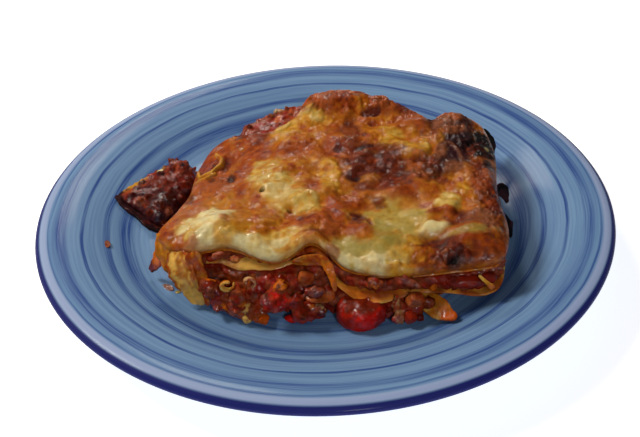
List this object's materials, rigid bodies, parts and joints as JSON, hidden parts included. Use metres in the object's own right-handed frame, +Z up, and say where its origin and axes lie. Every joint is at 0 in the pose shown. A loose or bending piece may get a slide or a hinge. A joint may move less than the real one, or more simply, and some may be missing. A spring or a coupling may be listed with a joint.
{
  "type": "plate of lasagna",
  "caption": "Corner piece of baked lasagna with a browned crust and ragu and pasta layers showing at its cut front, served on a round blue stoneware plate with a raised rim.",
  "frame": {"origin": "Middle of the plate's foot ring, at the level of the table the plate stands on.", "axes": "+Z up. The cut front of the lasagna faces -Y, and +X is to the right seen from the front."},
  "size_m": [0.2746, 0.2746, 0.0471],
  "materials": {
    "stoneware": "glossy glaze, grey blue with brushed darker blue rings and a navy band round the rim's outer edge",
    "baked_crust": "baked white sauce and cheese, cream to orange brown with burnt spots, moist sheen",
    "pasta": "cooked pasta sheet, yellow to orange, translucent, moist",
    "ragu": "minced meat in tomato sauce, red brown, wet",
    "baked_meat": "dark baked mince with sauce, wet glints",
    "tomato": "cooked tomato, bright red, wet",
    "cheese": "melted cheese, pale orange, translucent",
    "char": "burnt sauce flakes, near black"
  },
  "bodies": {
    "root": {"plate": "stoneware", "crust": "baked_crust", "pasta_top": "pasta", "pasta_middle": "pasta", "pasta_bottom": "pasta", "corner_pasta": "pasta", "pasta_tongue": "pasta", "pasta_lower": "pasta", "pasta_left": "pasta", "pasta_corner": "pasta", "ragu_upper": "ragu", "ragu_lower": "ragu", "corner_meat": "baked_meat", "tomato_front": "tomato", "tomato_right": "tomato", "cheese_string": "cheese", "char_back": "char", "char_side": "char", "char_low": "char"}
  },
  "joints": []
}
